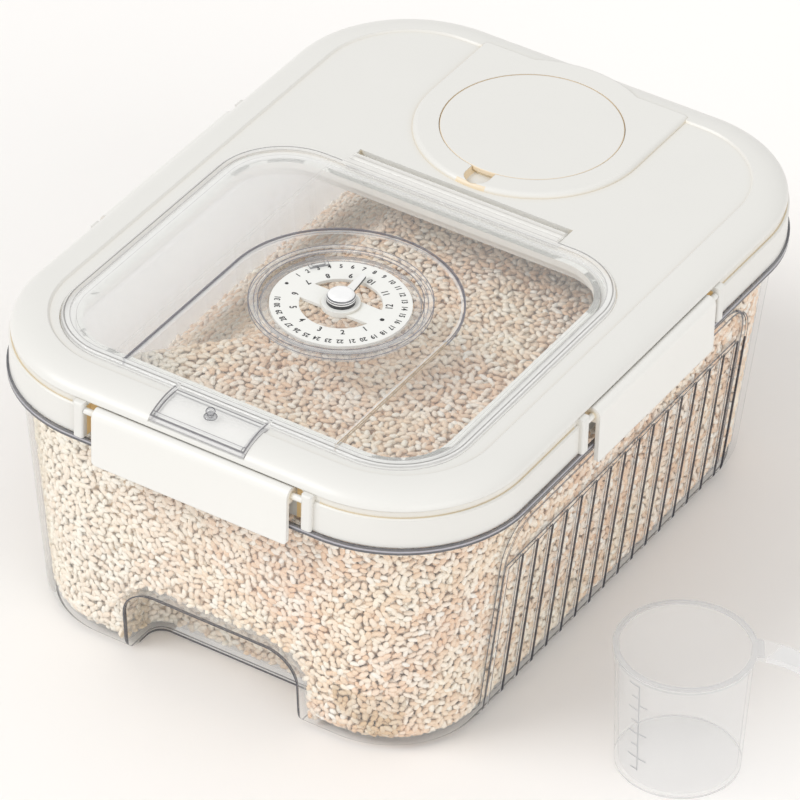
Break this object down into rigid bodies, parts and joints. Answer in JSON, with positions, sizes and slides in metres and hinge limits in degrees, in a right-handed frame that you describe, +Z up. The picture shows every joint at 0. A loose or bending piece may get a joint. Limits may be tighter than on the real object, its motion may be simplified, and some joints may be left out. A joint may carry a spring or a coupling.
{
  "type": "rice storage box",
  "caption": "Clear rice storage box with an ivory clip-on lid, flip-up clear window with a date dial, round storage cover, rice inside and a clear measuring cup beside it.",
  "frame": {"origin": "middle of the tub's flat underside, on the surface it stands on", "axes": "+Z up, -Y towards the front where the window's pull tab is, +X towards the measuring cup"},
  "size_m": [0.3928, 0.368, 0.1668],
  "materials": {
    "clear_plastic": "clear, glossy",
    "lid_plastic": "satin",
    "white_plastic": "satin",
    "seal_silicone": "matte",
    "rice": "loose grain"
  },
  "bodies": {
    "tub": {"container_body": "clear_plastic", "rice_fill": "rice"},
    "lid": {"lid_shell": "lid_plastic", "lid_gasket": "seal_silicone", "storage_basket": "white_plastic"},
    "window": {"flip_window": "clear_plastic", "window_gasket": "seal_silicone", "window_hinge_pin": "white_plastic", "dial_plate": "white_plastic"},
    "pointer": {"month_pointer": "white_plastic", "pointer_knob": "clear_plastic", "pointer_retainer": "white_plastic"},
    "days": {"day_ring": "clear_plastic"},
    "front_clip": {"clip_front": "lid_plastic"},
    "right_clip": {"clip_right": "lid_plastic"},
    "rear_clip": {"clip_rear": "lid_plastic"},
    "left_clip": {"clip_left": "lid_plastic"},
    "cover": {"storage_cover": "lid_plastic", "storage_cover_seal": "seal_silicone"},
    "cup": {"measuring_cup": "clear_plastic"}
  },
  "joints": [
    {"name": "lid_lift", "type": "slide", "parent": "tub", "child": "lid", "axis": [0, 0, 1], "range_m": [0, 0.12]},
    {"name": "window_flip", "type": "hinge", "parent": "lid", "child": "window", "pos_m": [0, 0.0468, 0.1589], "axis": [-1, 0, 0], "range_deg": [0, 105]},
    {"name": "month_pointer_turn", "type": "hinge", "parent": "window", "child": "pointer", "pos_m": [0, -0.057, 0.16], "axis": [0, 0, 1], "continuous": true},
    {"name": "day_ring_turn", "type": "hinge", "parent": "window", "child": "days", "pos_m": [0, -0.057, 0.16], "axis": [0, 0, 1], "continuous": true},
    {"name": "front_clip_swing", "type": "hinge", "parent": "lid", "child": "front_clip", "pos_m": [0, -0.18, 0.15], "axis": [-1, 0, 0], "range_deg": [0, 105]},
    {"name": "right_clip_swing", "type": "hinge", "parent": "lid", "child": "right_clip", "pos_m": [0.134, 0, 0.15], "axis": [0, -1, 0], "range_deg": [0, 105]},
    {"name": "rear_clip_swing", "type": "hinge", "parent": "lid", "child": "rear_clip", "pos_m": [0, 0.18, 0.15], "axis": [1, 0, 0], "range_deg": [0, 105]},
    {"name": "left_clip_swing", "type": "hinge", "parent": "lid", "child": "left_clip", "pos_m": [-0.134, 0, 0.15], "axis": [0, 1, 0], "range_deg": [0, 105]},
    {"name": "storage_cover_lift", "type": "slide", "parent": "lid", "child": "cover", "axis": [0, 0, 1], "range_m": [0, 0.03]},
    {"name": "cup_lift", "type": "slide", "parent": "tub", "child": "cup", "axis": [0, 0, 1], "range_m": [0, 0.15]}
  ]
}
